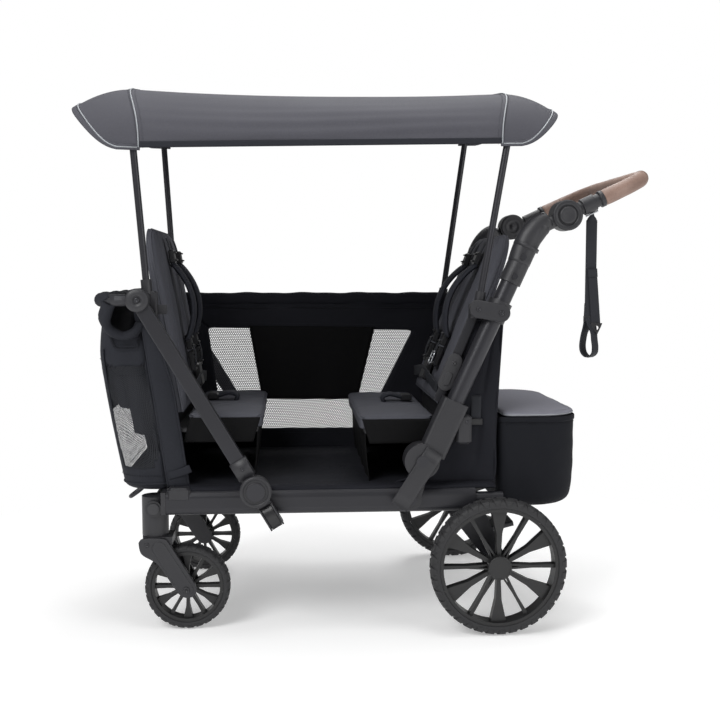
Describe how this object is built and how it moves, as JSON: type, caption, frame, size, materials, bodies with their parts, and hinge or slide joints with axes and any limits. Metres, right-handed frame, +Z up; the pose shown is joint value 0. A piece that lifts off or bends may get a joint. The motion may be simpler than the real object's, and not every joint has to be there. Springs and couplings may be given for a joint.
{
  "type": "stroller wagon",
  "caption": "Four-wheeled push wagon with facing padded seats, arched sun canopy, front bag, lidded rear basket, swivel casters and a tilting push handle.",
  "frame": {"origin": "on the floor, under the centre of the wagon's overall box", "axes": "+X towards the push handle, +Y to the side with the closed panel, +Z up"},
  "size_m": [1.2575, 0.665, 1.1814],
  "materials": {
    "frame_paint": "satin charcoal",
    "moulded_plastic": "fine grained",
    "button_plastic": "satin",
    "rim_plastic": "satin black",
    "tyre_rubber": "moulded tread",
    "cabin_cloth": "navy black woven cloth",
    "seat_cloth": "slate woven cloth",
    "canopy_cloth": "grey canopy cloth",
    "webbing": "ribbed webbing",
    "grip_leather": "brown, stitched",
    "bare_steel": "bare",
    "bolt_steel": "dark"
  },
  "bodies": {
    "chassis": {"side_rails": "frame_paint", "cross_tubes": "frame_paint", "rear_axle": "bare_steel", "axle_brackets": "frame_paint", "left_caster_housing": "moulded_plastic", "right_caster_housing": "moulded_plastic", "left_front_strut": "frame_paint", "right_front_strut": "frame_paint", "strut_hubs": "moulded_plastic", "frame_knuckles": "moulded_plastic", "front_bar": "frame_paint", "left_hinge_link": "moulded_plastic", "right_hinge_link": "moulded_plastic", "left_push_tube": "frame_paint", "right_push_tube": "frame_paint", "left_elbow": "moulded_plastic", "right_elbow": "moulded_plastic", "pole_brackets": "moulded_plastic", "link_bars": "frame_paint", "front_canopy_poles": "frame_paint", "rear_canopy_poles": "frame_paint", "canopy_ribs": "frame_paint", "canopy_cover": "canopy_cloth", "fabric_tub": "cabin_cloth", "right_side_panel": "cabin_cloth", "seat_boards": "moulded_plastic", "front_seat_cushion": "seat_cloth", "rear_seat_cushion": "seat_cloth", "crotch_straps": "webbing", "front_bag": "cabin_cloth", "rear_basket": "cabin_cloth", "tow_eye": "frame_paint", "frame_bolts": "bolt_steel"},
    "left_caster": {"left_caster_fork": "moulded_plastic"},
    "right_caster": {"right_caster_fork": "moulded_plastic"},
    "left_front_wheel": {"left_front_rim": "rim_plastic", "left_front_tyre": "tyre_rubber"},
    "right_front_wheel": {"right_front_rim": "rim_plastic", "right_front_tyre": "tyre_rubber"},
    "left_rear_wheel": {"left_rear_rim": "rim_plastic", "left_rear_tyre": "tyre_rubber"},
    "right_rear_wheel": {"right_rear_rim": "rim_plastic", "right_rear_tyre": "tyre_rubber"},
    "left_swivel_lock": {"left_caster_lock": "button_plastic"},
    "right_swivel_lock": {"right_caster_lock": "button_plastic"},
    "left_slide_latch": {"left_latch": "moulded_plastic"},
    "right_slide_latch": {"right_latch": "moulded_plastic"},
    "handle": {"handle_arms": "moulded_plastic", "handle_grip": "grip_leather", "tether_bar": "bare_steel"},
    "left_handle_button": {"left_hub_button": "button_plastic"},
    "right_handle_button": {"right_hub_button": "button_plastic"},
    "front_back": {"front_seat_back": "seat_cloth", "front_harness": "webbing"},
    "rear_back": {"rear_seat_back": "seat_cloth", "rear_harness": "webbing"},
    "lid": {"basket_lid": "cabin_cloth"},
    "brake": {"brake_pedal": "moulded_plastic"},
    "tether": {"tether_strap": "webbing", "tether_clip": "webbing"}
  },
  "joints": [
    {"name": "left_caster_swivel", "type": "hinge", "parent": "chassis", "child": "left_caster", "pos_m": [-0.44, -0.225, 0.23], "axis": [0, 0, 1], "continuous": true},
    {"name": "left_front_wheel_spin", "type": "hinge", "parent": "left_caster", "child": "left_front_wheel", "pos_m": [-0.373, -0.225, 0.091], "axis": [0, 1, 0], "continuous": true},
    {"name": "left_rear_wheel_spin", "type": "hinge", "parent": "chassis", "child": "left_rear_wheel", "pos_m": [0.283, -0.31, 0.145], "axis": [0, 1, 0], "continuous": true},
    {"name": "left_swivel_lock_press", "type": "slide", "parent": "chassis", "child": "left_swivel_lock", "axis": [0, 1, 0], "range_m": [0, 0.003], "stiffness_N_per_m": 600},
    {"name": "left_latch_slide", "type": "slide", "parent": "chassis", "child": "left_slide_latch", "axis": [0.3818, 0, 0.9243], "range_m": [0, 0.014]},
    {"name": "left_handle_button_press", "type": "slide", "parent": "chassis", "child": "left_handle_button", "axis": [0, 1, 0], "range_m": [0, 0.004], "stiffness_N_per_m": 600},
    {"name": "right_caster_swivel", "type": "hinge", "parent": "chassis", "child": "right_caster", "pos_m": [-0.44, 0.225, 0.23], "axis": [0, 0, 1], "continuous": true},
    {"name": "right_front_wheel_spin", "type": "hinge", "parent": "right_caster", "child": "right_front_wheel", "pos_m": [-0.373, 0.225, 0.091], "axis": [0, 1, 0], "continuous": true},
    {"name": "right_rear_wheel_spin", "type": "hinge", "parent": "chassis", "child": "right_rear_wheel", "pos_m": [0.283, 0.31, 0.145], "axis": [0, 1, 0], "continuous": true},
    {"name": "right_swivel_lock_press", "type": "slide", "parent": "chassis", "child": "right_swivel_lock", "axis": [0, -1, 0], "range_m": [0, 0.003], "stiffness_N_per_m": 600},
    {"name": "right_latch_slide", "type": "slide", "parent": "chassis", "child": "right_slide_latch", "axis": [0.3818, 0, 0.9243], "range_m": [0, 0.014]},
    {"name": "right_handle_button_press", "type": "slide", "parent": "chassis", "child": "right_handle_button", "axis": [0, -1, 0], "range_m": [0, 0.004], "stiffness_N_per_m": 600},
    {"name": "handle_tilt", "type": "hinge", "parent": "chassis", "child": "handle", "pos_m": [0.426, 0, 0.879], "axis": [0, -1, 0], "range_deg": [-45, 15]},
    {"name": "tether_hang", "type": "hinge", "parent": "handle", "child": "tether", "pos_m": [0.48525, -0.26, 0.88402], "axis": [0, -1, 0], "range_deg": [-15, 45]},
    {"name": "front_back_recline", "type": "hinge", "parent": "chassis", "child": "front_back", "pos_m": [-0.365, 0, 0.47], "axis": [0, 1, 0], "range_deg": [0, 10]},
    {"name": "rear_back_recline", "type": "hinge", "parent": "chassis", "child": "rear_back", "pos_m": [0.16, 0, 0.48], "axis": [0, -1, 0], "range_deg": [0, 18]},
    {"name": "lid_open", "type": "hinge", "parent": "chassis", "child": "lid", "pos_m": [0.30743, 0, 0.4493], "axis": [0, -1, 0], "range_deg": [0, 75]},
    {"name": "brake_press", "type": "hinge", "parent": "chassis", "child": "brake", "pos_m": [0.283, 0, 0.145], "axis": [0, 1, 0], "range_deg": [0, 14]}
  ],
  "couplings": [
    {"joint": "tether_hang", "follows": "handle_tilt", "ratio": -1}
  ]
}
